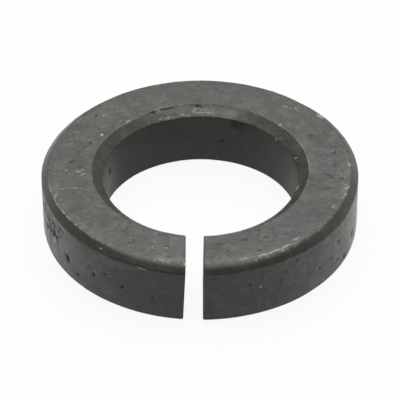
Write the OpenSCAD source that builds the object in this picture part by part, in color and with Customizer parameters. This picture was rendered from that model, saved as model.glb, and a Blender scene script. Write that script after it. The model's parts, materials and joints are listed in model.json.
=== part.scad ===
// Bucket tooth retainer: a split steel ring that springs into the groove of a
// side pin and holds the pin in a digging tooth and its adapter.
//
// The axis of the ring is Z. The plain back face lies on Z = 0 and the origin
// is its centre. The chamfered face, where the pin enters, is on top. The saw
// cut that lets the ring open is on the -Y side.

/* [Ring] */
// Outside diameter
ring_od = 50; // [44:0.5:60]
// Diameter of the bore that grips the pin
bore_d = 31; // [26:0.5:36]
// Height between the two flat faces
ring_h = 10.2; // [6:0.1:16]

/* [Edges] */
// Radial width of the lead-in chamfer, where the pin enters the bore
lead_in_w = 1.65; // [0.5:0.05:2]
// Height of the lead-in chamfer
lead_in_h = 1.25; // [0.5:0.05:3]
// Width and height of the chamfer on the outer edge of the top face
rim_chamfer = 1.05; // [0.4:0.05:1.5]
// Break on every edge of the back face
edge_break = 0.25; // [0.1:0.05:0.5]

/* [Saw cut] */
// Width of the cut at the top face
slot_top_w = 2.75; // [1:0.05:4]
// Width of the cut at the back face, where its walls have spread a little
slot_back_w = 3; // [1:0.05:4]
// Distance of the cut's right wall from the plane X = 0 at the top face
slot_top_x = 0.5; // [0:0.05:1.5]
// The same distance at the back face: the cut leans a little to the left
slot_back_x = 0.3; // [0:0.05:1.5]

/* [Hidden] */
$fn = 180;
ring_r = ring_od / 2;
bore_r = bore_d / 2;
// Distance that a cutting body runs past the faces it cuts
overrun = 1;
// Lean of the cut's right wall, and growth of its width, for each millimetre of height
slot_lean = (slot_top_x - slot_back_x) / ring_h;
slot_spread = (slot_top_w - slot_back_w) / ring_h;

// Half section of the ring: X is the radius and Y is the height.
module ring_section() {
    polygon([
        [bore_r + edge_break, 0],
        [ring_r - edge_break, 0],
        [ring_r, edge_break],
        [ring_r, ring_h - rim_chamfer],
        [ring_r - rim_chamfer, ring_h],
        [bore_r + lead_in_w, ring_h],
        [bore_r, ring_h - lead_in_h],
        [bore_r, edge_break]
    ]);
}

// The closed ring, turned about Z.
module ring_blank() {
    rotate_extrude() ring_section();
}

// X of the leaning right and left walls of the cut at a given height.
function slot_right_x(z) = slot_back_x + slot_lean * z;
function slot_left_x(z) = slot_right_x(z) - slot_back_w - slot_spread * z;

// Section of the saw cut in X and Z. Its lower edges flare by the edge break.
module slot_section() {
    top_z = ring_h + overrun;
    flare = edge_break + overrun;
    polygon([
        [slot_right_x(top_z), top_z],
        [slot_left_x(top_z), top_z],
        [slot_left_x(edge_break), edge_break],
        [slot_left_x(edge_break) - flare, -overrun],
        [slot_right_x(edge_break) + flare, -overrun],
        [slot_right_x(edge_break), edge_break]
    ]);
}

// The cut runs from the axis out through the -Y side of the ring.
module saw_cut() {
    rotate([90, 0, 0])
        linear_extrude(height = ring_r + overrun)
            slot_section();
}

module retainer() {
    color("#4a4a46")
        difference() {
            ring_blank();
            saw_cut();
        }
}

retainer();
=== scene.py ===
import json
import math
from collections import namedtuple

import bpy
import numpy as np
from mathutils import Matrix, Vector, noise


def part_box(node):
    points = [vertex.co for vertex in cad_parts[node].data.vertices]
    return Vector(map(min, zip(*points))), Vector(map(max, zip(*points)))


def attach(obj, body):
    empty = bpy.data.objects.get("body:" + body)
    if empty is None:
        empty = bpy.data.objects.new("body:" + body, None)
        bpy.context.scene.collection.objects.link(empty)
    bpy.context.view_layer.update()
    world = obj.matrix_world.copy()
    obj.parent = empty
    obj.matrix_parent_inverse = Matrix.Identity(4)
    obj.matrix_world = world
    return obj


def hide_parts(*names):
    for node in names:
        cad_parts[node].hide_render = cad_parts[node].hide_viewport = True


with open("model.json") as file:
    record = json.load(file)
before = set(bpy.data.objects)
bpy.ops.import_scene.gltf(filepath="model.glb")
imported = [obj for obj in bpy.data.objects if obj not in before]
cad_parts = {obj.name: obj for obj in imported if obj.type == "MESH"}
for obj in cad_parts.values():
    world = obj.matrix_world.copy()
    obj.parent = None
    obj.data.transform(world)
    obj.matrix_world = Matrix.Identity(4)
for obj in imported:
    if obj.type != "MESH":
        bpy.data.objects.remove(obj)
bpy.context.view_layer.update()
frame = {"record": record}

# ---- sizes, in millimetres
MM = 0.001
PER_MM = 1 / MM
MOUNT_SIZES = {m["name"]: m["dims"] for m in frame["record"]["mounts"]}
BORE_R = MOUNT_SIZES["pin_bore"]["r_mm"]
RING_R = MOUNT_SIZES["outer_seat"]["r_mm"]
RING_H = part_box("retainer")[1].z / MM
# The chamfers from the top face to the bore and to the outer wall
LEAD_IN_W = 1.65
LEAD_IN_H = 1.25
RIM_CHAMFER = 1.05
# The broken edges of the back face
EDGE_BREAK = 0.25
# The saw cut: where its right wall meets the top and the back face, and its widths there
SLOT_TOP_X = 0.5
SLOT_BACK_X = 0.3
SLOT_TOP_W = 2.75
SLOT_BACK_W = 3.0
# The rounding of the cut's edges, how much less it is at the top, as a share, and the
# smallest corner radius that it leaves
SLOT_EDGE_ROUND = 0.26
SLOT_TOP_SHARPER = 0.65
SHARPEST_ROUND = 0.03
# The scale and its grit stand this far proud of the nominal turned walls
OUTER_SCALE = 0.05
BORE_SCALE = 0.02

# ---- mesh density
STATIONS = 610
# The stations nearest to the cut, as shares of the rounding of its edges
EDGE_STATIONS = (0.0, 0.08, 0.3, 0.62, 1.0)
# Rings of faces on each wall of the cut
CAP_LOOPS = 12

# ---- faces of the half section
# From the back face round the outside to the bore: the radius that rounds the corner where
# the face starts, the mesh steps round that corner and across the face, how light it is
# there and how strongly it is mottled. How light is the scale's tone, but the bore is
# darkened further as painted shade inside the hole
Face = namedtuple("Face", "round corner_steps steps tone mottle")
FACES = {
    "back": Face(0.12, 2, 8, 0.88, 0.9),
    "outer_break": Face(0.15, 2, 2, 1.0, 0.7),
    "wall": Face(0.15, 2, 38, 0.91, 1.0),
    "rim": Face(0.16, 4, 4, 0.6, 0.6),
    "top": Face(0.6, 11, 29, 0.89, 0.85),
    "lead_in": Face(0.12, 4, 9, 0.83, 0.75),
    "bore": Face(0.16, 3, 29, 0.46, 0.42),
    "inner_break": Face(0.12, 2, 2, 0.6, 0.5),
}

# ---- uneven turning and wear
# A swell in an edge, a wall or a finish: its centre in degrees round the ring, its half
# width in degrees and its size, in mm for a form and as a share for a finish
OUTER_SWELLS = ((174, 14, 0.16), (350, 12, -0.08), (106, 12, -0.08), (134, 10, 0.07),
                (300, 14, 0.06), (38, 10, 0.1), (152, 10, 0.08))
RIM_EDGE_SWELLS = ((173, 13, 0.2), (199, 12, 0.15), (230, 12, -0.14), (260, 8, -0.12),
                   (290, 12, 0.09), (345, 10, -0.14))
RIM_DEPTH_SWELLS = ((246, 9, -0.2), (275, 9, 0.1), (330, 22, 0.15))
LEAD_EDGE_SWELLS = ((125, 20, -0.2), (175, 12, 0.08), (5, 14, 0.06))
# Where the rim chamfer's foot and its worn upper edge are rounder or sharper
ROUND_SWELLS = {
    "rim": ((335, 20, 0.35), (272, 30, 0.25), (238, 14, 0.4)),
    "top": ((275, 42, 1.4), (315, 30, 0.5), (202, 10, -0.2)),
}

# A fine unevenness: its size and wavelength in mm, and the seed and octaves of its noise
Ripple = namedtuple("Ripple", "size wavelength seed octaves", defaults=(3,))
RIM_EDGE_RIPPLE = Ripple(0.05, 1.6, 3.1)
RIM_FOOT_RIPPLE = Ripple(0.06, 1.7, 7.7)
LEAD_EDGE_RIPPLE = Ripple(0.03, 1.8, 11.3)
LEAD_FOOT_RIPPLE = Ripple(0.03, 3.0, 13.9)
# All over the ring: broad waves of scale, and grit
SCALE_RIPPLE = Ripple(-0.018, 5.0, 1.7, 2)
GRIT_RIPPLE = Ripple(-0.01, 1.1, 5.3)
FRACTAL_DIMENSION = 1.0
LACUNARITY = 2.0
# How a seed moves a pattern along x, y and z
SEED_SHIFT = (1.0, 0.37, -0.61)

# Where round the ring each face is lighter or darker, and more or less mottled. Part of it is the
# scale's own tone and part is painted light: the wall's bright stretch near 352 degrees is a
# painted reflection, the rim's light stretch near 168 degrees is painted light, and the bore's
# light stretch near 166 degrees is a painted highlight
TONE_AND_LIGHTING_SWELLS = {
    "wall": ((352, 13, 1.6), (200, 11, 0.24), (266, 50, -0.34), (240, 12, -0.06),
             (303, 13, -0.07), (337, 9, 0.1)),
    "rim": ((168, 21, 2.7), (196, 8, 0.36), (308, 22, -0.22), (4, 18, 1.2), (340, 8, 0.2),
            (222, 14, -0.15)),
    "top": ((260, 16, 0.07), (205, 14, -0.07), (325, 18, -0.06), (135, 15, 0.04)),
    "lead_in": ((98, 21, 0.75), (76, 10, 0.5), (45, 14, 0.08), (184, 10, 0.12), (252, 36, 0.75),
                (280, 20, 0.12), (8, 12, -0.14), (152, 12, -0.16), (124, 12, 0.26)),
    "bore": ((90, 35, 0.12), (166, 9, 0.24), (152, 15, -0.15), (4, 10, -0.17)),
}
MOTTLE_SWELLS = {
    "wall": ((268, 30, -0.5),),
    "top": ((90, 35, -0.2), (0, 25, 0.2), (145, 15, 0.2), (245, 20, -0.1)),
}
# How bright the edge where each face starts is, partly rubbed bare and partly a painted
# highlight where the rounded edge catches the light, and the powers that set where the
# bright line lies across that edge and how broad it is
EDGE_WEAR_AND_HIGHLIGHT = {
    "rim": ((192, 11, 1.0), (232, 4, 0.4), (340, 12, 0.5)),
    "top": ((200, 20, 0.85), (212, 9, 0.3), (232, 12, 0.4), (262, 9, 0.45), (288, 7, 0.42),
            (302, 8, 0.5), (322, 14, 0.35), (350, 10, 0.4), (35, 9, 0.4)),
    "bore": ((112, 12, 0.6), (36, 14, 0.45), (85, 10, 0.4)),
}
WEAR_AND_HIGHLIGHT_SKEW = 1.6
WEAR_AND_HIGHLIGHT_BREADTH = 0.7
# The lighter margin of the top beside the rim, partly rubbed and partly a painted highlight
# of its rolled edge: its radius, half width and strength
MARGIN_R = 23.1
MARGIN_HALF = 0.5
MARGIN_SWELLS = ((262, 13, 0.45), (281, 9, 0.3), (305, 15, 0.35), (348, 12, 0.35),
                 (235, 12, 0.2), (195, 14, 0.25), (222, 12, 0.15))
# The fine line along the lead-in's outer edge: a bright line above zero, and below zero the
# painted shadow in a small groove along the edge
LEAD_LINE_HALF = 0.13
LEAD_LINE_AND_SHADOW = ((133, 7, 1.0), (152, 12, 0.35), (174, 12, 0.2), (2, 11, 0.95), (20, 5, 0.6),
             (40, 14, 0.6), (345, 9, 0.5), (118, 6, -1.4), (107, 6, -1.5), (94, 7, -1.2),
             (76, 10, -0.8), (60, 6, -0.5))
# The streaked, pitted stretch of the outer wall: its middle, height and half sizes, the
# power that sets how sharply it ends, and its ripple
STREAK_ANGLE = 200.3
STREAK_HEIGHT = 5.8
STREAK_HALF_LENGTH = 5.2
STREAK_HALF_HEIGHT = 3.7
STREAK_FALLOFF = 4
STREAK_RIPPLE = Ripple(0.05, 0.8, 4.4)
# The rough stretch of the lead-in chamfer, and the bright spots on it: their pattern, the
# levels of it between which they come in, and their strength
ROUGH_SWELLS = ((98, 24, 1.0),)
ROUGH_RIPPLE = Ripple(-0.05, 0.9, 6.1)
ROUGH_SPOTS = Ripple(1.0, 0.8, 2.6)
ROUGH_SPOT_LEVELS = (0.15, 0.5)
ROUGH_SHINE = 0.75
# The saw lines on the walls of the cut, how closely they lie along x, y and z, and how
# light the scale is there
SAW_RIPPLE = Ripple(0.03, 0.45, 9.2, 2)
SAW_CLOSENESS = (0.15, 1.0, 0.15)
CUT_TONE = 0.9

# On the top a point's normal turns up by more than this, and on a wall by less
LEVEL_TURN = 0.5
# The least that it turns out or in on a wall, and both in and up on the lead-in chamfer
SIDE_TURN = 0.3
# The turns in and up over which the lead-in chamfer begins, and the turns up of a chamfer
LEAD_IN_TURN_IN = (0.1, 0.5)
LEAD_IN_TURN_UP = (0.1, 0.6)
CHAMFER_TURN_UP = (0.3, 0.95)

# ---- marks
# Tints that multiply the finish. The chamfers are a little more olive
OLIVE = (1.0, 1.0, 0.93)
GREENISH = (0.9, 1.08, 1.0)
REDDISH = (1.09, 0.94, 0.97)
BLUISH = (0.94, 1.0, 1.08)
YELLOWISH = (1.07, 1.05, 0.92)
LIGHTER = (1.2, 1.2, 1.18)
DARKER = (0.78, 0.8, 0.78)
SLATE = (0.68, 0.7, 0.82)
BROWN = (0.6, 0.59, 0.5)
RING_DARK = (0.71, 0.77, 0.75)
RING_LIGHT = (1.5, 1.6, 1.56)
RING_MIDDLE = (0.52, 0.58, 0.57)
COOL = (0.985, 0.99, 1.075)

# Marks, stains and scratches are given one by one. The offset of a mark or a stain is its
# height on a wall or its radius on the top or the lead-in; long and wide are half sizes;
# turn is the slant of its long side from level, in degrees; dark and bright are strengths
Mark = namedtuple("Mark", "angle offset long wide turn depth dark bright")
# A tint spot multiplies the colour. Most are stains; three on the bore are painted shade and painted
# highlights
Stain = namedtuple("Stain", "angle offset long wide colour crisp turn", defaults=(False, 0.0))
# A crisp stain has a clear edge, between these strengths
CRISP_EDGE = (0.25, 0.65)
# A thin bright scratch on the top, from one (radius, angle) to another
Scratch = namedtuple("Scratch", "start end half_width strength")
FLECK_DEPTH = 0.012


def pit(angle, offset, long, wide=None, turn=0.0, depth=0.12, dark=1.0):
    """A dark sunk mark: a hollow left by scale or a knock; two on the top are the painted shadow of the
    lead-in's groove.
    """
    return Mark(angle, offset, long, wide or long, turn, depth, dark, 0.0)


def fleck(angle, offset, long, wide=None, turn=0.0, bright=1.0):
    """A bright spot where the finish has come off."""
    return Mark(angle, offset, long, wide or long, turn, FLECK_DEPTH, 0.0, bright)


WALL_MARKS = (
    pit(189.6, 6.0, 1.0, 0.5, turn=80),
    pit(194.7, 8.0, 0.8, 0.5, dark=0.9),
    pit(195.7, 6.3, 1.1, 0.6, turn=-40),
    pit(199.2, 6.3, 0.9, 0.5, turn=-30),
    pit(196.2, 4.4, 1.0, 0.5, turn=-20),
    pit(209.6, 7.9, 0.6, 0.35, turn=-60, dark=1.2),
    pit(211.8, 8.0, 0.5, 0.3, turn=-70, dark=1.1),
    pit(208.4, 7.0, 0.6, 0.3, turn=-50),
    pit(200.2, 7.9, 0.7, 0.3, turn=-60, dark=1.1),
    pit(204.2, 7.3, 0.6, 0.3, turn=-50),
    pit(206, 5.6, 0.8, 0.3, turn=-60),
    pit(192, 7.2, 0.7, 0.5, turn=-60),
    pit(201.6, 3.0, 0.6, 0.3, turn=-60, dark=0.9),
    pit(199.3, 4.9, 1.0, 0.5, turn=-30, dark=1.2),
    pit(203, 5.1, 0.9, 0.5, turn=-15, dark=1.2),
    pit(206, 5.5, 0.7, 0.45),
    pit(209.8, 8.0, 0.6, dark=1.4),
    pit(200.3, 2.7, 1.1, 0.35, turn=80, dark=1.4),
    pit(214.3, 3.6, 0.8, 0.46, turn=-55, depth=0.22, dark=1.7),
    pit(220.5, 2.1, 0.36, dark=1.1),
    pit(227.2, 5.5, 0.25),
    pit(229, 4.2, 0.36, dark=1.1),
    pit(234.2, 5.4, 0.34, dark=0.9),
    pit(241.4, 4.3, 0.34, dark=1.1),
    pit(243, 3.8, 0.24, dark=0.9),
    pit(253, 3.7, 0.26, 0.42, dark=0.9),
    pit(274.6, 8.3, 0.22, dark=0.8),
    pit(287.4, 6.3, 0.27),
    pit(291.4, 7.1, 0.28),
    pit(298.9, 5.5, 0.28, dark=0.75),
    pit(300.8, 6.9, 0.4, 0.25, dark=0.72),
    pit(306, 8.2, 0.34),
    pit(310.4, 6.0, 0.26, dark=0.8),
    pit(317.2, 3.8, 0.4, 0.28, dark=0.7),
    pit(323.4, 4.0, 0.42, 0.3, dark=0.65),
    pit(328.6, 5.8, 0.46, dark=0.9),
    pit(328.3, 2.4, 0.3, dark=0.8),
    pit(334.2, 1.2, 0.55, dark=1.2),
    pit(342.8, 2.9, 1.0, 0.5, turn=90, dark=1.2),
    pit(345.5, 4.8, 0.4, dark=0.8),
    fleck(291.5, 5.4, 0.2, bright=1.5),
    fleck(295, 5.8, 0.17, bright=0.6),
    fleck(249.2, 9.0, 0.95, 0.24, turn=-10, bright=0.85),
    fleck(242.1, 3.9, 0.2, bright=0.6),
    fleck(229.6, 3.7, 0.2, bright=0.55),
    fleck(315.9, 3.4, 0.35, 0.16, turn=30, bright=0.6),
    fleck(315.7, 0.6, 0.4, 0.2, turn=30, bright=0.6),
)
TOP_MARKS = (
    pit(155.4, 22.3, 0.3, 0.2, dark=0.8),
    pit(158.1, 19.0, 0.3, dark=0.7),
    pit(161.7, 19.3, 0.5, 0.16, dark=0.6),
    pit(140.1, 22.1, 0.34, 0.2, dark=0.8),
    pit(141.8, 23.7, 0.4, 0.22, dark=0.9),
    pit(174.1, 20.5, 0.4, dark=0.75),
    pit(166.3, 19.8, 0.45, 0.2, dark=0.6),
    pit(106.7, 23.4, 0.4, 0.16, dark=0.6),
    pit(109.1, 19.0, 0.6, 0.18, dark=0.5),
    pit(96.9, 23.2, 0.5, 0.2, dark=0.5),
    pit(228.5, 18.7, 0.34, 0.2, turn=40, dark=0.9),
    pit(232.6, 19.5, 0.5, 0.18, turn=70, dark=0.85),
    pit(237.5, 19.7, 0.34, 0.16, dark=0.78),
    pit(231.2, 17.3, 0.26, dark=0.7),
    pit(240.4, 20.6, 0.5, 0.18, turn=50, dark=0.55),
    pit(258, 22.2, 0.24, dark=0.75),
    pit(231.6, 22.6, 0.5, 0.16, turn=-20, dark=0.6),
    pit(234.4, 22.9, 0.4, 0.16, dark=0.55),
    pit(235.6, 19.6, 0.3, 0.18, turn=60, dark=0.7),
    pit(239.2, 19.5, 0.34, 0.16, dark=0.7),
    pit(239.7, 21.3, 0.34, 0.18, dark=0.75),
    pit(241.3, 22.2, 0.4, 0.16, turn=70, dark=0.65),
    pit(242.5, 22.9, 0.22, dark=0.75),
    pit(248.4, 20.0, 0.4, 0.2, dark=0.7),
    pit(250.2, 20.9, 0.5, 0.18, turn=80, dark=0.6),
    pit(255.3, 20.0, 0.36, 0.2, dark=0.65),
    pit(249.4, 17.6, 0.5, 0.16, dark=0.6),
    pit(278.5, 19.1, 0.4, 0.2, dark=0.75),
    pit(282, 18.6, 0.3, 0.18, dark=0.65),
    pit(284.8, 19.3, 0.3, 0.18, turn=40, dark=0.65),
    pit(281.6, 20.8, 0.34, 0.18, turn=80, dark=0.65),
    pit(286.2, 21.0, 0.3, 0.16, turn=50, dark=0.55),
    pit(291.4, 19.0, 0.5, 0.22, dark=0.75),
    pit(294.1, 22.1, 0.24, dark=0.6),
    pit(303.5, 22.8, 0.4, 0.16, dark=0.65),
    pit(289.6, 23.0, 0.9, 0.13, dark=0.6),
    pit(26.5, 19.9, 0.24, dark=0.6),
    pit(24.4, 21.2, 0.22, dark=0.6),
    pit(11.1, 21.8, 0.36, 0.3),
    pit(2.1, 21.2, 0.3, 0.18, dark=0.7),
    pit(355.2, 20.4, 0.9, 0.18, turn=90, dark=0.85),
    pit(353.6, 20.8, 0.7, 0.16, turn=90, dark=0.8),
    pit(353.4, 22.5, 0.36, dark=0.9),
    pit(346, 20.4, 0.8, 0.18, turn=80, dark=0.75),
    pit(10.9, 19.4, 0.26, dark=0.6),
    pit(300, 18.0, 0.34, 0.2, dark=0.7),
    # These two are painted shadow of the lead-in's groove, darker than their shallow hollow makes them
    pit(109.5, 17.05, 1.6, 0.22, depth=0.08, dark=1.2),
    pit(117, 17.0, 1.0, 0.28, depth=0.08, dark=1.2),
    fleck(150.5, 18.15, 0.26, bright=1.8),
    fleck(136.5, 22.1, 0.2, bright=0.5),
    fleck(138.1, 21.2, 0.45, 0.24, turn=60, bright=0.65),
    fleck(130.7, 20.5, 0.2, bright=0.7),
    fleck(130.5, 19.3, 0.18, bright=0.6),
    fleck(135.1, 18.1, 0.55, 0.18, bright=0.95),
    fleck(133, 17.15, 0.6, 0.2),
    fleck(140.7, 17.2, 0.35, 0.12, bright=0.7),
    fleck(165.7, 19.0, 0.2, bright=0.6),
    fleck(182, 19.1, 0.9, 0.45, turn=60, bright=0.7),
    fleck(184.6, 18.5, 0.7, 0.4, turn=60, bright=0.68),
    fleck(180.7, 21.2, 0.5, 0.3, bright=0.8),
    fleck(135.6, 23.9, 0.25, bright=0.6),
    fleck(197, 23.6, 0.8, 0.3, turn=30, bright=0.9),
    fleck(228.1, 18.9, 0.25, 0.15, bright=0.5),
    fleck(255.6, 20.5, 0.28, bright=0.8),
    fleck(264.3, 23.7, 0.24, bright=1.5),
    fleck(261.8, 17.3, 0.2, bright=0.8),
    fleck(11.8, 21.6, 0.16, bright=1.1),
    fleck(41.6, 17.3, 0.24, bright=1.5),
    fleck(35.5, 24.0, 0.8, 0.4, bright=1.7),
    fleck(49.5, 21.7, 0.9, 0.28, turn=-10, bright=0.72),
    fleck(45.8, 22.3, 0.7, 0.26, turn=25, bright=0.72),
    fleck(45, 19.8, 0.8, 0.18, bright=0.5),
    fleck(358.1, 23.5, 0.25, bright=0.7),
    fleck(2.5, 23.6, 0.9, 0.25, bright=0.9),
    fleck(347.5, 23.6, 0.9, 0.35, turn=20, bright=0.9),
    fleck(343.2, 23.6, 1.1, 0.3, turn=10, bright=0.8),
    fleck(334.2, 22.9, 0.8, 0.35, bright=0.7),
    fleck(286.5, 23.35, 1.0, 0.34, bright=0.62),
    fleck(293.6, 23.5, 0.9, 0.18, bright=1.1),
    fleck(298.6, 23.5, 1.3, 0.17, bright=1.1),
    fleck(304, 23.4, 1.3, 0.16),
    fleck(309.2, 23.0, 0.6, 0.2, bright=1.2),
    fleck(255.5, 23.5, 0.6, 0.2, bright=0.8),
    fleck(231.8, 24.5, 0.28, 0.13, bright=1.1),
    fleck(296.2, 18.9, 0.7, 0.16, turn=80, bright=0.5),
    fleck(303.6, 19.3, 0.6, 0.16, turn=70, bright=0.5),
)
BORE_MARKS = (
    pit(159.5, 5.6, 0.4, 0.6, dark=1.4),
    fleck(37.7, 8.8, 0.24, bright=1.5),
)
LEAD_IN_MARKS = (
    pit(91.1, 16.85, 0.5, 0.16),
    fleck(14.5, 15.75, 0.18, bright=1.5),
    fleck(51.9, 15.85, 0.6, 0.1, bright=0.6),
    fleck(48, 15.8, 0.6, 0.09, bright=0.6),
    fleck(45, 15.7, 0.5, 0.09, bright=0.5),
    pit(36.5, 16.95, 0.35, 0.14),
    pit(33, 16.9, 0.3, 0.14, dark=0.9),
    pit(16.5, 16.95, 0.4, 0.16),
    pit(31.5, 15.8, 0.35, 0.16, dark=0.8),
    fleck(346.5, 15.68, 0.8, 0.18, bright=1.6),
    fleck(90, 16.1, 1.0, 0.13, bright=1.1),
    fleck(84.5, 16.0, 1.2, 0.13, bright=1.1),
    fleck(88, 16.5, 0.8, 0.13),
    fleck(100.6, 15.95, 0.7, 0.13, bright=1.1),
    fleck(108.7, 15.8, 0.8, 0.13, bright=1.1),
    fleck(114, 15.8, 0.5, 0.13),
)
MARKS = {"wall": WALL_MARKS, "top": TOP_MARKS, "bore": BORE_MARKS, "lead_in": LEAD_IN_MARKS}

WALL_STAINS = (
    Stain(210, 4.3, 2.2, 2.0, GREENISH),
    Stain(208, 4.3, 3.4, 2.6, LIGHTER),
    Stain(194, 5.0, 3.0, 3.0, LIGHTER),
    Stain(209, 3.5, 2.4, 1.4, BLUISH),
    Stain(222, 4.4, 1.6, 1.6, REDDISH),
    Stain(220.5, 6.9, 0.7, 0.9, REDDISH),
    Stain(245, 5.6, 2.4, 1.2, BLUISH),
    Stain(241, 8.5, 3.2, 0.5, LIGHTER),
    Stain(275, 8.0, 2.6, 0.8, GREENISH),
    Stain(305, 6.0, 2.0, 2.6, REDDISH),
    Stain(300.5, 7.4, 1.3, 1.7, REDDISH),
    Stain(295, 8.5, 1.6, 0.8, BLUISH),
    Stain(312, 8.0, 1.6, 1.2, BLUISH),
)
TOP_STAINS = (
    Stain(294, 21.3, 1.2, 0.5, YELLOWISH),
    Stain(315, 18.3, 1.3, 1.0, GREENISH),
    Stain(135, 21.9, 2.0, 1.4, YELLOWISH),
    Stain(110, 22.1, 1.6, 0.9, YELLOWISH),
    Stain(183, 22.9, 2.4, 0.9, GREENISH),
    Stain(206, 20.9, 2.0, 1.2, YELLOWISH),
    Stain(203, 19.9, 0.8, 0.4, DARKER),
    Stain(57.7, 21.8, 2.2, 1.0, GREENISH),
    Stain(66.8, 19.1, 0.8, 0.7, LIGHTER),
    Stain(44, 19.9, 1.2, 0.6, LIGHTER),
    Stain(12.3, 18.6, 0.9, 0.8, YELLOWISH),
    Stain(12.3, 18.6, 0.7, 0.6, DARKER),
    Stain(6.1, 19.9, 1.0, 0.5, BLUISH),
    Stain(354.5, 20.6, 0.8, 1.2, DARKER),
    Stain(346.8, 23.4, 1.6, 0.6, LIGHTER),
    Stain(178, 19.3, 1.0, 0.8, DARKER),
    Stain(147.7, 22.4, 1.3, 1.3, GREENISH),
    Stain(103.7, 21.0, 2.2, 1.3, GREENISH),
    Stain(178, 24.4, 4.0, 0.26, SLATE),
    Stain(160, 24.3, 5.0, 0.22, SLATE),
    Stain(171, 23.2, 2.0, 1.0, BLUISH),
    Stain(152, 19.9, 1.6, 1.6, REDDISH),
    Stain(25.5, 19.8, 1.6, 1.2, GREENISH),
    Stain(25.5, 19.8, 1.2, 0.8, DARKER),
    Stain(65, 19.0, 1.3, 1.1, LIGHTER),
    Stain(5, 20.5, 2.0, 1.5, BLUISH),
    Stain(318, 20.0, 3.0, 2.0, BLUISH),
    Stain(256, 20.5, 3.5, 2.2, LIGHTER),
    Stain(286.6, 23.35, 1.0, 0.4, LIGHTER),
    Stain(263, 22.6, 2.2, 0.9, LIGHTER),
    Stain(299.7, 19.9, 1.7, 1.6, RING_DARK, crisp=True),
    Stain(300.1, 19.95, 1.15, 1.1, RING_LIGHT, crisp=True),
    Stain(300.1, 20.0, 0.5, 0.46, RING_MIDDLE, crisp=True),
)
BORE_STAINS_AND_LIGHTING = (
    # Painted shadow along the top of the bore
    Stain(57, 8.7, 1.6, 0.4, DARKER),
    Stain(150, 6.0, 6.0, 4.0, YELLOWISH),
    Stain(18, 8.6, 2.6, 0.5, DARKER),
    Stain(127.6, 6.7, 1.4, 1.2, BLUISH),
    # These two are painted highlights: soft light streaks up the bore
    Stain(161, 4.0, 0.7, 1.6, LIGHTER),
    Stain(165, 3.4, 0.5, 2.0, LIGHTER),
    Stain(66.2, 8.3, 1.45, 1.25, BROWN, crisp=True),
    Stain(76.6, 4.3, 0.6, 0.4, BROWN, crisp=True),
)
LEAD_IN_STAINS = (
    Stain(106, 16.2, 5.0, 1.4, COOL),
    Stain(84, 16.2, 4.5, 1.4, COOL),
    Stain(137.5, 16.3, 1.6, 0.9, REDDISH),
    Stain(84, 16.35, 2.4, 0.5, LIGHTER),
    Stain(67, 16.1, 2.0, 0.4, LIGHTER),
    Stain(109, 15.9, 2.0, 0.3, LIGHTER),
    Stain(54, 16.7, 2.6, 0.4, DARKER),
    Stain(16, 15.75, 2.2, 0.25, DARKER),
)
TINT_SPOTS = {"wall": WALL_STAINS, "top": TOP_STAINS, "bore": BORE_STAINS_AND_LIGHTING, "lead_in": LEAD_IN_STAINS}

SCRATCHES = (
    Scratch((22.6, 193.3), (20.0, 194.1), 0.13, 0.9),
    Scratch((20.0, 194.1), (17.4, 198.4), 0.12, 0.8),
    Scratch((22.4, 209.8), (19.9, 210.9), 0.1, 0.6),
    Scratch((18.4, 184.5), (19.4, 180.5), 0.12, 0.7),
    Scratch((23.0, 344), (21.4, 338), 0.1, 0.3),
    Scratch((21.2, 70), (20.2, 58), 0.1, 0.2),
)


# ---- mesh of the ring
def new_object(name, data):
    """An object in the scene that shows a mesh, a light or a camera."""
    obj = bpy.data.objects.new(name, data)
    bpy.context.scene.collection.objects.link(obj)
    return obj


def degrees_away(theta, angle):
    """How far each angle is from one given in degrees, from -180 to 180."""
    return (np.degrees(theta) - angle + 180.0) % 360.0 - 180.0


def swell_sum(theta, swells):
    """The sum of some swells at each angle."""
    total = np.zeros_like(theta)
    for angle, spread, size in swells:
        total += size * np.exp(-(degrees_away(theta, angle) / spread) ** 2)
    return total


def noise_at(places, ripple):
    """A ripple's smooth noise at some places of its pattern, in mm."""
    shape = (FRACTAL_DIMENSION, LACUNARITY, ripple.octaves)
    return ripple.size * np.array([noise.fractal(Vector(place), *shape) for place in places])


def edge_ripple(theta, ripple):
    """How far a ripple moves an edge at each angle round the ring, in mm."""
    turns = RING_R / ripple.wavelength
    return noise_at([(math.cos(t) * turns, math.sin(t) * turns, ripple.seed) for t in theta], ripple)


def surface_ripple(points, ripple):
    """How far a ripple moves the surface at each point, in mm."""
    shift = Vector([ripple.seed * along for along in SEED_SHIFT])
    return noise_at([Vector(point) / ripple.wavelength + shift for point in points], ripple)


def unit(vectors):
    """The vectors at a length of one."""
    return vectors / np.linalg.norm(vectors, axis=-1, keepdims=True)


def smooth_step(low, high, value):
    """From 0 at low to 1 at high, without a corner at either end."""
    share = np.clip((value - low) / (high - low), 0, 1)
    return share * share * (3 - 2 * share)


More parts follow.
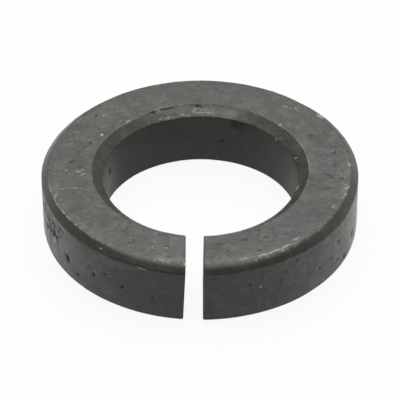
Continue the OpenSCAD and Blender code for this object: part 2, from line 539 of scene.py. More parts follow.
def section_corners(theta):
    """The corner where each face of the half section starts, and the radius that rounds it."""
    level = np.ones_like(theta)
    outer = RING_R + OUTER_SCALE + swell_sum(theta, OUTER_SWELLS)
    bore = level * (BORE_R - BORE_SCALE)
    rim_edge = RING_R - RIM_CHAMFER + swell_sum(theta, RIM_EDGE_SWELLS)
    rim_edge += edge_ripple(theta, RIM_EDGE_RIPPLE)
    rim_foot = RING_H - RIM_CHAMFER - swell_sum(theta, RIM_DEPTH_SWELLS)
    rim_foot += edge_ripple(theta, RIM_FOOT_RIPPLE)
    lead_edge = BORE_R + LEAD_IN_W + swell_sum(theta, LEAD_EDGE_SWELLS)
    lead_edge += edge_ripple(theta, LEAD_EDGE_RIPPLE)
    lead_foot = RING_H - LEAD_IN_H + edge_ripple(theta, LEAD_FOOT_RIPPLE)
    corners = {
        "back": (bore + EDGE_BREAK, level * 0.0),
        "outer_break": (outer - EDGE_BREAK, level * 0.0),
        "wall": (outer, level * EDGE_BREAK),
        "rim": (outer, rim_foot),
        "top": (rim_edge, level * RING_H),
        "lead_in": (lead_edge, level * RING_H),
        "bore": (bore, lead_foot),
        "inner_break": (bore, level * EDGE_BREAK),
    }
    places = [np.stack(corners[name], 1) for name in FACES]
    rounds = [face.round + swell_sum(theta, ROUND_SWELLS.get(name, ())) for name, face in FACES.items()]
    return np.stack(places, 1), np.stack(rounds, 1)


def corner_sides(corners):
    """Directions from each corner to the one before and after it, and half its angle."""
    back = unit(np.roll(corners, 1, 1) - corners)
    ahead = unit(np.roll(corners, -1, 1) - corners)
    return back, ahead, np.arccos(np.clip((back * ahead).sum(-1), -1, 1)) / 2


def section_outline(theta, inset):
    """The rounded half section at each angle, shrunk by its inset, as (radius, height) points."""
    corners, rounds = section_corners(theta)
    back, ahead, half = corner_sides(corners)
    inset = inset[:, None] * (1 - SLOT_TOP_SHARPER * corners[..., 1] / RING_H)
    corners = corners + unit(back + ahead) * (inset / np.sin(half))[..., None]
    rounds = np.maximum(rounds - inset, SHARPEST_ROUND)
    back, ahead, half = corner_sides(corners)
    reach = (rounds / np.tan(half))[..., None]
    enter = corners + back * reach
    leave = corners + ahead * reach
    rows = []
    for k, face in enumerate(FACES.values()):
        for s in np.linspace(0, 1, face.corner_steps + 1):
            rows.append((1 - s) ** 2 * enter[:, k] + 2 * s * (1 - s) * corners[:, k] + s * s * leave[:, k])
        following = enter[:, (k + 1) % len(FACES)]
        for s in np.linspace(0, 1, face.steps + 1)[1:-1]:
            rows.append(leave[:, k] + (following - leave[:, k]) * s)
    return np.stack(rows, 1)


def outline_finish(theta):
    """Tone of the scale with its painted light, mottling, and the edges' wear and painted highlights at
    each point of the outline.
    """
    none = np.zeros_like(theta)
    faces = [np.stack([face.tone * (1 + swell_sum(theta, TONE_AND_LIGHTING_SWELLS.get(name, ()))),
                       face.mottle * (1 + swell_sum(theta, MOTTLE_SWELLS.get(name, ()))),
                       none], 1) for name, face in FACES.items()]
    edges = [np.stack([none, none, swell_sum(theta, EDGE_WEAR_AND_HIGHLIGHT.get(name, ()))], 1) for name in FACES]
    rows = []
    for k, face in enumerate(FACES.values()):
        for s in np.linspace(0, 1, face.corner_steps + 1):
            worn_and_highlit = edges[k] * math.sin(math.pi * s ** WEAR_AND_HIGHLIGHT_SKEW) ** WEAR_AND_HIGHLIGHT_BREADTH
            rows.append(faces[k - 1] * (1 - s) + faces[k] * s + worn_and_highlit)
        rows += [faces[k]] * (face.steps - 1)
    return np.moveaxis(np.stack(rows, 1), 2, 0)


def outline_normals(outline):
    """Outward unit normals of each station's outline, in the section's plane."""
    along = np.roll(outline, -1, 1) - np.roll(outline, 1, 1)
    return unit(np.stack([along[..., 1], -along[..., 0]], -1))


def slot_angles(radius, height):
    """Angles of the right and left walls of the saw cut at each radius and height."""
    up = height / RING_H
    right_x = SLOT_BACK_X + (SLOT_TOP_X - SLOT_BACK_X) * up
    left_x = right_x - SLOT_BACK_W - (SLOT_TOP_W - SLOT_BACK_W) * up
    start = -math.pi / 2 + np.arcsin(right_x / radius)
    end = 1.5 * math.pi + np.arcsin(left_x / radius)
    return start, end


def station_steps():
    """How far round the ring each station is, from 0 to 1, and its inset at the cut's edges."""
    mid_length = math.pi * (RING_R + BORE_R)
    near = SLOT_EDGE_ROUND * np.array(EDGE_STATIONS)
    body = np.linspace(near[-1], mid_length - near[-1], STATIONS)
    along = np.concatenate([near[:-1], body, mid_length - near[-2::-1]])
    from_wall = np.minimum(along, mid_length - along)
    short = np.clip(SLOT_EDGE_ROUND - from_wall, 0, None)
    inset = SLOT_EDGE_ROUND - np.sqrt(SLOT_EDGE_ROUND ** 2 - short ** 2)
    return along / mid_length, inset


def to_space(radius, height, step):
    """Points of the ring in space, each a step of the way from the right to the left wall."""
    start, end = slot_angles(radius, height)
    theta = start + (end - start) * step
    return np.stack([radius * np.cos(theta), radius * np.sin(theta), height], -1)


class Skin:
    """The ring's outer points in mm, with what marks and stains need to know of each."""

    def __init__(self, points, normals):
        self.points = points
        self.normals = normals
        self.theta = np.arctan2(points[:, 1], points[:, 0])
        self.radius = np.hypot(points[:, 0], points[:, 1])
        outward = (normals[:, 0] * points[:, 0] + normals[:, 1] * points[:, 1]) / self.radius
        up = normals[:, 2]
        upright = np.abs(up) < LEVEL_TURN
        self.on_lead_in = smooth_step(*LEAD_IN_TURN_IN, -outward) * smooth_step(*LEAD_IN_TURN_UP, up)
        self.faces_up = up > SIDE_TURN
        self.place_masks = {
            "top": (up > LEVEL_TURN, self.radius),
            "wall": ((outward > SIDE_TURN) & upright, points[:, 2]),
            "bore": ((outward < -SIDE_TURN) & upright, points[:, 2]),
            "lead_in": ((outward < -SIDE_TURN) & self.faces_up, self.radius),
        }

    def apart(self, place, angle, offset):
        """Whether each point is on a place, and how far round and up it is from a spot there."""
        inside, offsets = self.place_masks[place]
        return inside, np.radians(degrees_away(self.theta, angle)) * self.radius, offsets - offset

    def cover(self, place, spot):
        """How strongly a mark or stain covers each point, from 0 to 1."""
        inside, across, up = self.apart(place, spot.angle, spot.offset)
        turn = math.radians(spot.turn)
        a = across * math.cos(turn) + up * math.sin(turn)
        b = up * math.cos(turn) - across * math.sin(turn)
        return np.where(inside, np.exp(-((a / spot.long) ** 2 + (b / spot.wide) ** 2)), 0.0)


def streak_window(skin):
    """Where the outer wall is closely streaked and pitted, from 0 to 1."""
    inside, across, up = skin.apart("wall", STREAK_ANGLE, STREAK_HEIGHT)
    fall = (across / STREAK_HALF_LENGTH) ** STREAK_FALLOFF + (up / STREAK_HALF_HEIGHT) ** STREAK_FALLOFF
    return np.where(inside, np.exp(-fall), 0.0)


def surface_marks(skin):
    """Depth in mm to sink each point, and how dark and how bright its marks are."""
    rough = swell_sum(skin.theta, ROUGH_SWELLS) * skin.on_lead_in
    depth = surface_ripple(skin.points, SCALE_RIPPLE) + surface_ripple(skin.points, GRIT_RIPPLE)
    depth += rough * surface_ripple(skin.points, ROUGH_RIPPLE)
    depth += streak_window(skin) * surface_ripple(skin.points, STREAK_RIPPLE)
    dark = np.zeros_like(depth)
    spots = smooth_step(*ROUGH_SPOT_LEVELS, surface_ripple(skin.points, ROUGH_SPOTS))
    bright = ROUGH_SHINE * rough * spots
    for place, marks in MARKS.items():
        for mark in marks:
            mask = skin.cover(place, mark)
            depth += mark.depth * mask
            dark = np.maximum(dark, mark.dark * mask)
            bright = np.maximum(bright, mark.bright * mask)
    return depth, dark, bright


def surface_tint_and_lighting(skin, tone):
    """The colour that the finish is multiplied by at each point: the scale's tone and stains, with painted
    light and shade.
    """
    # The top's margin beside the rim is made lighter: partly rubbed, partly a painted highlight of its
    # rolled edge
    margin = np.exp(-((skin.radius - MARGIN_R) / MARGIN_HALF) ** 2) * swell_sum(skin.theta, MARGIN_SWELLS)
    tone = tone * (1 + np.where(skin.place_masks["top"][0], margin, 0.0))
    tint = np.repeat(tone[:, None], 3, 1)
    up = skin.normals[:, 2:]
    tint *= np.where((up > CHAMFER_TURN_UP[0]) & (up < CHAMFER_TURN_UP[1]), OLIVE, 1.0)
    for place, tint_spots in TINT_SPOTS.items():
        for tint_spot in tint_spots:
            mask = skin.cover(place, tint_spot)[:, None]
            if tint_spot.crisp:
                mask = smooth_step(*CRISP_EDGE, mask)
            tint *= 1 + (np.array(tint_spot.colour) - 1) * mask
    return tint


def ring_faces(stations, points, first_cap):
    """Quads round the ring, then the two walls of the cut as shrinking loops."""
    faces = []
    for i in range(stations - 1):
        a, b = i * points, (i + 1) * points
        faces += [(a + j, b + j, b + (j + 1) % points, a + (j + 1) % points) for j in range(points)]
    for cap, edge in enumerate((0, (stations - 1) * points)):
        inner = first_cap + cap * (points * (CAP_LOOPS - 1) + 1)
        loops = [edge] + [inner + points * k for k in range(CAP_LOOPS - 1)]
        centre = inner + points * (CAP_LOOPS - 1)
        wall = []
        for a, b in zip(loops, loops[1:]):
            wall += [(a + j, a + (j + 1) % points, b + (j + 1) % points, b + j) for j in range(points)]
        wall += [(loops[-1] + j, loops[-1] + (j + 1) % points, centre) for j in range(points)]
        faces += wall if cap == 0 else [face[::-1] for face in wall]
    return faces


def cap_points(outline, step):
    """Points on one wall of the cut: loops that shrink to the middle of the section."""
    middle = outline.mean(0)
    rings = [middle + (outline - middle) * (1 - k / CAP_LOOPS) for k in range(1, CAP_LOOPS)]
    section = np.vstack(rings + [middle[None]])
    section = to_space(section[:, 0], section[:, 1], np.full(len(section), step))
    lines = SAW_RIPPLE._replace(seed=SAW_RIPPLE.seed + step)
    section[:, 0] += surface_ripple(section * SAW_CLOSENESS, lines)
    return section


def add_layer(mesh, name, kind, values, pad):
    """Stores per-point values on the mesh; the walls of the cut take the value of pad."""
    layer = mesh.attributes.new(name, kind, "POINT")
    extra = np.full((len(mesh.vertices) - len(values),) + values.shape[1:], pad)
    values = np.concatenate([values, extra]).astype(np.float32)
    layer.data.foreach_set("color" if kind == "FLOAT_COLOR" else "value", values.ravel())


def build_ring():
    """The retainer: a worn, pitted mesh of the split ring, with its finish as attributes."""
    steps, inset = station_steps()
    theta = -math.pi / 2 + steps * 2 * math.pi
    outline = section_outline(theta, inset)
    tone, mottle, wear_and_highlight = outline_finish(theta)
    lead_edge = section_corners(theta)[0][:, list(FACES).index("lead_in"), 0]
    flat_normals = outline_normals(outline)
    stations, points = outline.shape[:2]
    around = to_space(outline[..., 0], outline[..., 1], steps[:, None])
    turn = np.arctan2(around[..., 1], around[..., 0])
    normals = np.stack([flat_normals[..., 0] * np.cos(turn), flat_normals[..., 0] * np.sin(turn),
                        flat_normals[..., 1]], -1)
    skin = Skin(around.reshape(-1, 3), normals.reshape(-1, 3))
    depth, dark, bright = surface_marks(skin)
    tint = surface_tint_and_lighting(skin, tone.ravel())
    sunk = skin.points - skin.normals * depth[:, None]
    caps = [cap_points(outline[0], 0.0), cap_points(outline[-1], 1.0)]
    verts = np.vstack([sunk] + caps) * MM
    mesh = bpy.data.meshes.new("retainer_ring")
    mesh.from_pydata(verts.tolist(), [], ring_faces(stations, points, len(sunk)))
    mesh.validate()
    layers = {"dark_marks": dark, "bright_marks": bright, "edge_wear": wear_and_highlight.ravel(),
              "streaked": streak_window(skin), "lead_line": swell_sum(skin.theta, LEAD_LINE_AND_SHADOW)}
    for name, values in layers.items():
        add_layer(mesh, name, "FLOAT", values, 0.0)
    gap = (outline[..., 0] - lead_edge[:, None]).ravel()
    add_layer(mesh, "lead_gap", "FLOAT", np.where(skin.faces_up, gap, RING_R), RING_R)
    add_layer(mesh, "tint", "FLOAT_COLOR", np.c_[tint, mottle.ravel()], CUT_TONE)
    mesh.polygons.foreach_set("use_smooth", [True] * len(mesh.polygons))
    return new_object("retainer_ring", mesh)


# ---- patterns of the steel, and display colours from 0 to 255
SCALE_DARK = (73, 74, 69)
SCALE_PLAIN = (83, 84, 80)
SPECK_DARK = (40, 41, 38)
# The floor of the pits and streaks, also the painted shadow in the lead-in's groove
PIT_AND_SHADOW_DARK = (32, 33, 31)
# Bare metal, and the colour of the painted highlights on the edges
BARE_METAL_AND_HIGHLIGHT = (178, 178, 172)
# A noise pattern: its features to the mm, detail, roughness and distortion
Pattern = namedtuple("Pattern", "per_mm detail rough distortion", defaults=(2.0, 0.5, 0.0))
PATCHES = Pattern(0.2, 4.0, 0.65, 0.6)
TINTS = Pattern(0.26, 3.0, 0.6, 0.4)
BLOTCHES = Pattern(0.55, 5.0, 0.72, 0.5)
GRIT = Pattern(2.4, 3.0, 0.7)
BREAKS = Pattern(1.5, 3.0, 0.7)
STREAKS = Pattern(1.7, 4.0, 0.7)
BUMPS = Pattern(2.8, 5.0, 0.7)
# A layer of colour: the levels of its pattern between which it comes in, its strength and
# its display colour
Layer = namedtuple("Layer", "low high share colour")
PATCH_LAYER = Layer(0.42, 0.6, 1.0, (94, 94, 87))
BLOTCH_LAYERS = (Layer(0.53, 0.62, 0.6, (113, 113, 106)), Layer(0.47, 0.38, 0.6, (54, 55, 51)))
GRIT_LAYERS = (Layer(0.45, 0.68, 0.45, (114, 114, 107)), Layer(0.44, 0.3, 0.45, (58, 59, 55)))
# The faint tints, by how far in mm their pattern is shifted
TINT_LAYERS = {
    13.0: Layer(0.52, 0.6, 0.4, (77, 88, 83)),
    29.0: Layer(0.52, 0.6, 0.4, (87, 84, 87)),
    41.0: Layer(0.52, 0.6, 0.4, (93, 92, 82)),
    57.0: Layer(0.52, 0.6, 0.35, (82, 86, 90)),
}
# Thin winding lines: their shift in mm, their pattern, their half width in its levels,
# their strength and their display colour
Lines = namedtuple("Lines", "shift pattern half_width share colour")
LINE_LAYERS = (
    Lines((0.0, 0.0), Pattern(0.55, 4.0, 0.6, 0.8), 0.016, 0.75, (44, 45, 42)),
    Lines((21.0, 11.0), Pattern(0.45, 4.0, 0.6, 0.8), 0.014, 0.7, (140, 140, 133)),
)
# What breaks them up: its shift in mm, how much finer it is, and its levels
LINE_BREAK_SHIFT = (7.0, 3.0)
LINE_BREAK_FINENESS = 1.4
LINE_BREAK_LEVELS = (0.52, 0.6)
# Round specks: their cells to the mm, their size in a cell and the share of the cells that
# hold one. Where they crowd: a shift in mm, a pattern, its levels and their strengths there
Specks = namedtuple("Specks", "per_mm size share shift crowd levels strengths")
DARK_SPECKS = Specks(0.8, 0.22, 0.35, (3.0, 17.0), Pattern(0.16), (0.45, 0.6), (0.1875, 0.75))
BRIGHT_SPECKS = Specks(1.1, 0.14, 0.35, (31.0, 5.0), Pattern(0.18), (0.48, 0.62), (0.1, 0.6))
# The shares of a line's half width and a speck's size that are at full strength
LINE_CORE = 0.3
SPECK_CORE = 0.5

# The ranges that patterns and attributes are mapped from and, if not 0 to 1, to
LEAD_LINE_BREAKS = (0.4, 0.58, 0.15, 1.0)
FLECK_RAGGED = (0.35, 0.65, -0.45, 0.3)
FLECK_LEVELS = (0.25, 0.7)
FLECK_SHARE = (0.0, 1.0, 0.0, 0.9)
WEAR_AND_HIGHLIGHT_RAGGED = (0.3, 0.7, -0.7, 0.6)
WEAR_AND_HIGHLIGHT_START = (0.0, 0.3)
WEAR_AND_HIGHLIGHT_LEVELS = (0.35, 1.1, 0.0, 0.6)
SPECKS_ON_MOTTLE = (0.5, 0.9)
SCRATCH_BREAKS = (0.42, 0.58)
# A single pit shows less where the wall is streaked
PITS_IN_STREAKS = (0.0, 0.5, 1.0, 0.4)
PIT_RAGGED = (0.3, 0.7, -0.35, 0.35)
PIT_LEVELS = (0.3, 0.8, 0.0, 0.94)
STREAK_THINNING = (0.0, 1.0, 0.3, 0.0)
HOLLOW_LEVELS = (0.495, 0.525, 0.0, 0.97)
RIDGE_LEVELS = (0.47, 0.41, 0.0, 0.6)
PIT_METALLIC = (0.0, 1.0, 0.5, 0.1)
GRIT_ROUGHNESS = (0.3, 0.7, 0.54, 0.7)
PIT_SHEEN = (0.0, 1.0, 1.0, 0.15)
TINT_SHEEN = (0.4, 0.75, 0.45, 1.0)
# How dark the painted shadow in the lead-in's groove is, and how bright the line along its edge
GROOVE_SHADOW_DARKNESS = 0.9
LEAD_LINE_BRIGHTNESS = 0.7
# Streaks run up the wall, and are darker at its pits
STREAK_STRETCH = (1.0, 1.0, 0.38)
STREAK_PIT_SHARE = 0.09
# How far scratches wander in mm, and the features to the mm of what moves them
SCRATCH_SHAKE = 0.5
SCRATCH_SHAKE_PER_MM = 0.9
BUMP_STRENGTH = 0.5
BUMP_MM = 0.05
COAT = 0.45
COAT_ROUGHNESS = 0.4
SPECULAR = 0.5


# ---- materials
class Nodes:
    """Short calls for building a node tree. Places are in metres."""

    def __init__(self, tree):
        self.tree = tree
        tree.nodes.clear()

    def add(self, kind, inputs, **settings):
        """A new node, with some of its inputs set to a value or linked to an output."""
        node = self.tree.nodes.new(kind)
        for name, value in settings.items():
            setattr(node, name, value)
        for name, value in inputs.items():
            if isinstance(value, bpy.types.NodeSocket):
                self.tree.links.new(value, node.inputs[name])
            else:
                node.inputs[name].default_value = value
        return node

    def finish(self, shader):
        """Makes a shader the material's surface."""
        self.add("ShaderNodeOutputMaterial", {"Surface": shader.outputs[0]})

    def attribute(self, name, output="Fac"):
        return self.add("ShaderNodeAttribute", {}, attribute_name=name).outputs[output]

    def math(self, operation, a, b=0.0):
        return self.add("ShaderNodeMath", {0: a, 1: b}, operation=operation).outputs[0]

    def times(self, a, b):
        return self.math("MULTIPLY", a, b)

    def plus(self, a, b):
        return self.math("ADD", a, b)

    def most(self, a, b):
        return self.math("MAXIMUM", a, b)

    def vector(self, operation, a, b=(0.0, 0.0, 0.0), output="Vector"):
        return self.add("ShaderNodeVectorMath", {0: a, 1: b}, operation=operation).outputs[output]

    def scaled(self, vector, factor):
        node = self.add("ShaderNodeVectorMath", {0: vector, "Scale": factor}, operation="SCALE")
        return node.outputs["Vector"]

    def mix(self, factor, a, b, blend="MIX"):
        node = self.add("ShaderNodeMix", {0: factor, 6: a, 7: b}, data_type="RGBA", blend_type=blend)
        return node.outputs[2]

    def red(self, colour):
        return self.add("ShaderNodeSeparateColor", {0: colour}).outputs[0]

    def remap(self, value, low, high, to_low=0.0, to_high=1.0):
        """A value mapped from one range to another and held within it."""
        inputs = dict(enumerate((value, low, high, to_low, to_high)))
        return self.add("ShaderNodeMapRange", inputs, clamp=True).outputs[0]

    def noise(self, coords, pattern):
        """A noise pattern, around 0.5."""
        inputs = {"Vector": coords, "Scale": pattern.per_mm * PER_MM, "Detail": pattern.detail,
                  "Roughness": pattern.rough, "Distortion": pattern.distortion}
        return self.add("ShaderNodeTexNoise", inputs).outputs["Fac"]

    def shaken(self, coords, distance, per_mm):
        """The same coordinates, moved about by noise of its own along each axis."""
        node = self.add("ShaderNodeTexNoise", {"Vector": coords, "Scale": per_mm * PER_MM})
        centred = self.vector("SUBTRACT", node.outputs["Color"], (0.5, 0.5, 0.5))
        return self.vector("ADD", coords, self.scaled(centred, distance))

    def specks(self, coords, specks):
        """Round specks scattered over the surface: only a share of the cells holds one."""
        cells = self.add("ShaderNodeTexVoronoi", {"Vector": coords, "Scale": specks.per_mm * PER_MM})
        chosen = self.math("LESS_THAN", self.red(cells.outputs["Color"]), specks.share)
        shape = self.remap(cells.outputs["Distance"], specks.size, specks.size * SPECK_CORE)
        return self.times(chosen, shape)

    def line(self, coords, start, end, half_width):
        """1 along a straight line between two points, falling to 0 at its half width."""
        along = end - start
        offset = self.vector("SUBTRACT", coords, start)
        dot = self.vector("DOT_PRODUCT", offset, along, output="Value")
        nearest = self.scaled(along, self.remap(dot, 0.0, along.length_squared))
        apart = self.vector("DISTANCE", offset, nearest, output="Value")
        return self.remap(apart, half_width, half_width * LINE_CORE)


def new_material(name):
    """A material and the calls for building its nodes."""
    material = bpy.data.materials.new(name)
    material.use_nodes = True
    return material, Nodes(material.node_tree)


def srgb(colour):
    """A linear RGBA colour from 0-255 display values, by the standard curve."""
    def linear(value):
        value /= 255
        return value / 12.92 if value <= 0.04045 else ((value + 0.055) / 1.055) ** 2.4
    return tuple(linear(value) for value in colour) + (1.0,)


def on_top(radius, angle):
    """A point of the top face in metres, from its radius in mm and its angle in degrees."""
    turn = math.radians(angle)
    return Vector((radius * math.cos(turn), radius * math.sin(turn), RING_H)) * MM


def shifted(n, coords, shift):
    """The same coordinates moved, for noise that doesn't repeat another's shape."""
    return n.vector("ADD", coords, (shift[0] * MM, shift[1] * MM, 0.0))


def painted(n, colour, pattern, layer):
    """The colour with a layer over it."""
    return n.mix(n.remap(pattern, layer.low, layer.high, 0.0, layer.share), colour, srgb(layer.colour))


def winding_lines(n, coords, lines):
    """How strongly thin broken winding lines show."""
    coords = shifted(n, coords, lines.shift)
    away = n.math("ABSOLUTE", n.math("SUBTRACT", n.noise(coords, lines.pattern), 0.5))
    breaks = Pattern(lines.pattern.per_mm * LINE_BREAK_FINENESS)
    broken = n.remap(n.noise(shifted(n, coords, LINE_BREAK_SHIFT), breaks), *LINE_BREAK_LEVELS)
    return n.times(n.remap(away, lines.half_width, lines.half_width * LINE_CORE), broken)


def crowding(n, coords, specks):
    """How strongly specks show, more where they crowd."""
    pattern = n.noise(shifted(n, coords, specks.shift), specks.crowd)
    return n.remap(pattern, *specks.levels, *specks.strengths)


def mottled_scale(n, coords, grit):
    """Heat scale: light and dark blotches, faint tints, winding lines, grit and dark specks."""
    colour = painted(n, srgb(SCALE_DARK), n.noise(coords, PATCHES), PATCH_LAYER)
    for shift, layer in TINT_LAYERS.items():
        colour = painted(n, colour, n.noise(shifted(n, coords, (shift, -shift)), TINTS), layer)
    blotches = n.noise(coords, BLOTCHES)
    for layer in BLOTCH_LAYERS:
        colour = painted(n, colour, blotches, layer)
    for lines in LINE_LAYERS:
        cover = n.times(winding_lines(n, coords, lines), lines.share)
        colour = n.mix(cover, colour, srgb(lines.colour))
    for layer in GRIT_LAYERS:
        colour = painted(n, colour, grit, layer)
    specks = n.times(n.specks(coords, DARK_SPECKS), crowding(n, coords, DARK_SPECKS))
    return n.mix(specks, colour, srgb(SPECK_DARK))


def edge_line(n, broken):
    """Brightness of the line round the lead-in's edge, or below zero the darkness of the painted shadow in
    its groove.
    """
    gap = n.math("ABSOLUTE", n.attribute("lead_gap"))
    near = n.remap(gap, LEAD_LINE_HALF, LEAD_LINE_HALF * LINE_CORE)
    ragged = n.remap(broken, *LEAD_LINE_BREAKS)
    return n.times(n.times(near, ragged), n.attribute("lead_line"))


def worn_metal_and_highlights(n, coords, grit, broken):
    """How much bare metal and painted highlight shows: flecks, rubbed edges with their painted highlights,
    stray bright specks and scratches.
    """
    flecks = n.attribute("bright_marks")
    bare_and_highlit = n.remap(n.plus(flecks, n.remap(grit, *FLECK_RAGGED)), *FLECK_LEVELS)
    bare_and_highlit = n.times(bare_and_highlit, n.remap(flecks, *FLECK_SHARE))
    worn_and_highlit = n.attribute("edge_wear")
    rubbed_and_highlit = n.plus(worn_and_highlit, n.remap(broken, *WEAR_AND_HIGHLIGHT_RAGGED))
    rubbed_and_highlit = n.times(rubbed_and_highlit, n.remap(worn_and_highlit, *WEAR_AND_HIGHLIGHT_START))
    bare_and_highlit = n.most(bare_and_highlit, n.remap(rubbed_and_highlit, *WEAR_AND_HIGHLIGHT_LEVELS))
    mottle = n.attribute("tint", "Alpha")
    crowd = n.times(crowding(n, coords, BRIGHT_SPECKS), n.remap(mottle, *SPECKS_ON_MOTTLE))
    bare_and_highlit = n.most(bare_and_highlit, n.times(n.specks(coords, BRIGHT_SPECKS), crowd))
    wavy = n.shaken(coords, SCRATCH_SHAKE * MM, SCRATCH_SHAKE_PER_MM)
    for scratch in SCRATCHES:
        line = n.line(wavy, on_top(*scratch.start), on_top(*scratch.end), scratch.half_width * MM)
        line = n.times(line, n.remap(broken, *SCRATCH_BREAKS, 0.0, scratch.strength))
        bare_and_highlit = n.most(bare_and_highlit, line)
    return bare_and_highlit


def pits_shadow_and_ridges(n, coords, broken, lead_line):
    """How strongly dark pits and the painted shadow in the lead-in's groove show, and the bright ridges
    between the streaks.
    """
    marks = n.attribute("dark_marks")
    streaked = n.attribute("streaked")
    pits_and_shadow = n.times(marks, n.remap(streaked, *PITS_IN_STREAKS))
    pits_and_shadow = n.plus(pits_and_shadow, n.remap(broken, *PIT_RAGGED))
    # The painted shadow in the lead-in's groove is dark like the pits
    pits_and_shadow = n.most(n.remap(pits_and_shadow, *PIT_LEVELS), n.times(lead_line, -GROOVE_SHADOW_DARKNESS))
    stretched = n.add("ShaderNodeMapping", {"Vector": coords, "Scale": STREAK_STRETCH}).outputs[0]
    streaks = n.noise(stretched, STREAKS)
    streaks = n.plus(streaks, n.times(marks, STREAK_PIT_SHARE))
    thinning = n.remap(streaked, *STREAK_THINNING)
    hollows = n.remap(n.math("SUBTRACT", streaks, thinning), *HOLLOW_LEVELS)
    ridges = n.remap(n.plus(streaks, thinning), *RIDGE_LEVELS)
    return n.most(pits_and_shadow, hollows), ridges


def dark_steel():
    """Dull, dark heat-treated steel: mottled scale, dark pits and bare bright wear, with painted
    highlights on the edges, painted shadow in the lead-in's groove, and the painted light and shade of the
    mesh's tint.
    """
    material, n = new_material("dark_steel")
    coords = n.add("ShaderNodeTexCoord", {}).outputs["Object"]
    grit = n.noise(coords, GRIT)
    broken = n.noise(coords, BREAKS)
    tint = n.attribute("tint", "Color")
    lead_line = edge_line(n, broken)
    pits_and_shadow, ridges = pits_shadow_and_ridges(n, coords, broken, lead_line)
    bare_and_highlit = n.most(worn_metal_and_highlights(n, coords, grit, broken), n.times(lead_line, LEAD_LINE_BRIGHTNESS))
    bare_and_highlit = n.most(bare_and_highlit, ridges)
    colour = n.mix(n.attribute("tint", "Alpha"), srgb(SCALE_PLAIN), mottled_scale(n, coords, grit))
    # The mesh's tint brings the scale's tone and stains with painted light and shade; then pits and the
    # painted shadow in the lead-in's groove go dark, and bare metal and the painted highlights on the
    # edges go bright
    colour = n.mix(1.0, colour, tint, "MULTIPLY")
    colour = n.mix(pits_and_shadow, colour, srgb(PIT_AND_SHADOW_DARK))
    colour = n.mix(bare_and_highlit, colour, srgb(BARE_METAL_AND_HIGHLIGHT))
    bump = n.add("ShaderNodeBump", {"Strength": BUMP_STRENGTH, "Distance": BUMP_MM * MM,
                                    "Height": n.noise(coords, BUMPS)})
    sheen = n.times(n.remap(pits_and_shadow, *PIT_SHEEN), n.remap(n.red(tint), *TINT_SHEEN))
    n.finish(n.add("ShaderNodeBsdfPrincipled", {
        "Base Color": colour,
        "Metallic": n.remap(pits_and_shadow, *PIT_METALLIC),
        "Roughness": n.remap(grit, *GRIT_ROUGHNESS),
        "Coat Weight": n.times(sheen, COAT),
        "Coat Roughness": COAT_ROUGHNESS,
        "Specular IOR Level": n.times(sheen, SPECULAR),
        "Normal": bump.outputs["Normal"],
    }))
    return material


# ---- stage, light and camera, in metres
FLOOR_HALF = 6.0
FLOOR_DROP = 0.00002
PAPER = 0.95
PAPER_BOUNCE = 0.5
PAPER_GLOW = 0.91
WORLD_GREY = 0.02
# Softboxes: name, place, size and power in watts
SOFTBOXES = (
    ("top_softbox", (0.0, 0.0, 0.9), (0.8, 0.8), 5.0),
    ("back_softbox", (0.0, 0.55, 0.7), (0.9, 0.6), 3.8),
    ("left_softbox", (-0.85, 0.1, 0.2), (0.4, 0.5), 1.6),
    ("right_softbox", (0.8, 0.07, 0.35), (0.5, 0.5), 1.6),
)
CAMERA_DISTANCE = 0.4
CAMERA_ELEVATION = math.radians(38.0)
CAMERA_ROLL = math.radians(-0.22)
CAMERA_CLIP = (0.01, 20.0)
IMAGE_SIZE = 400
FOCAL_PIXELS = 2511.0
TARGET = Vector((0, 0, 0.005))
# Where the target appears, right of and above the image's centre
TARGET_PIXELS = (0.4, 5.8)
SENSOR_MM = 36.0


def grey(level):
    """A linear RGBA grey."""
    return (level,) * 3 + (1.0,)


def paper_white():
    """A matt white floor: it keeps shadows, and is whiter to the eye and to reflections."""
    material, n = new_material("paper_white")
    path = n.add("ShaderNodeLightPath", {}).outputs
    seen = n.most(path["Is Camera Ray"], path["Is Glossy Ray"])
    seen = n.most(seen, path["Is Transmission Ray"])
    paper = n.add("ShaderNodeBsdfDiffuse", {"Color": n.mix(seen, grey(PAPER_BOUNCE), grey(PAPER))})
    glow = n.add("ShaderNodeEmission", {})
    blend = {0: n.times(seen, PAPER_GLOW), 1: paper.outputs[0], 2: glow.outputs[0]}
    n.finish(n.add("ShaderNodeMixShader", blend))
    return material


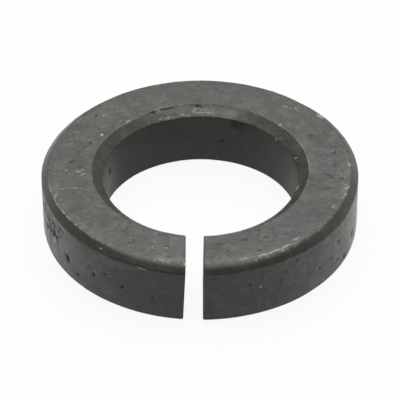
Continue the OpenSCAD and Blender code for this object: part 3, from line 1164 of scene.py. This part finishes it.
def build_floor():
    """The white floor that the ring lies on."""
    half = FLOOR_HALF
    corners = [(-half, -half, 0), (half, -half, 0), (half, half, 0), (-half, half, 0)]
    mesh = bpy.data.meshes.new("floor")
    mesh.from_pydata(corners, [], [(0, 1, 2, 3)])
    mesh.materials.append(paper_white())
    floor = new_object("floor", mesh)
    floor.location.z = -FLOOR_DROP


def aimed(obj, place, aim, roll=0.0):
    """Puts an object in place, looking at aim, with +Z up."""
    back = (Vector(place) - Vector(aim)).normalized()
    obj.matrix_world = (Matrix.Translation(place) @ back.to_track_quat("Z", "Y").to_matrix().to_4x4()
                        @ Matrix.Rotation(roll, 4, "Z"))


def build_lights():
    """The softboxes round the ring, and the dim grey of the room."""
    for name, place, size, power in SOFTBOXES:
        data = bpy.data.lights.new(name, "AREA")
        data.shape = "RECTANGLE"
        data.size, data.size_y = size
        data.energy = power
        aimed(new_object(name, data), place, (0, 0, 0))
    world = bpy.data.worlds.new("studio")
    bpy.context.scene.world = world
    world.use_nodes = True
    world.node_tree.nodes["Background"].inputs[0].default_value = grey(WORLD_GREY)


def build_camera():
    """The camera of the photograph, in front of the cut and above it."""
    data = bpy.data.cameras.new("camera")
    data.sensor_width = SENSOR_MM
    data.lens = FOCAL_PIXELS * SENSOR_MM / IMAGE_SIZE
    data.clip_start, data.clip_end = CAMERA_CLIP
    camera = new_object("camera", data)
    back = Vector((0, -math.cos(CAMERA_ELEVATION), math.sin(CAMERA_ELEVATION)))
    up = Vector((0, math.sin(CAMERA_ELEVATION), math.cos(CAMERA_ELEVATION)))
    metres_per_pixel = CAMERA_DISTANCE / FOCAL_PIXELS
    shift = Vector((TARGET_PIXELS[0], 0, 0)) + up * TARGET_PIXELS[1]
    aimed(camera, TARGET + back * CAMERA_DISTANCE, TARGET - shift * metres_per_pixel, CAMERA_ROLL)
    bpy.context.scene.camera = camera


def main():
    """Builds the scene."""
    ring = build_ring()
    ring.data.materials.append(dark_steel())
    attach(ring, "root")
    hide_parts("retainer")
    build_floor()
    build_lights()
    build_camera()
    bpy.context.scene.view_settings.view_transform = "Standard"


main()
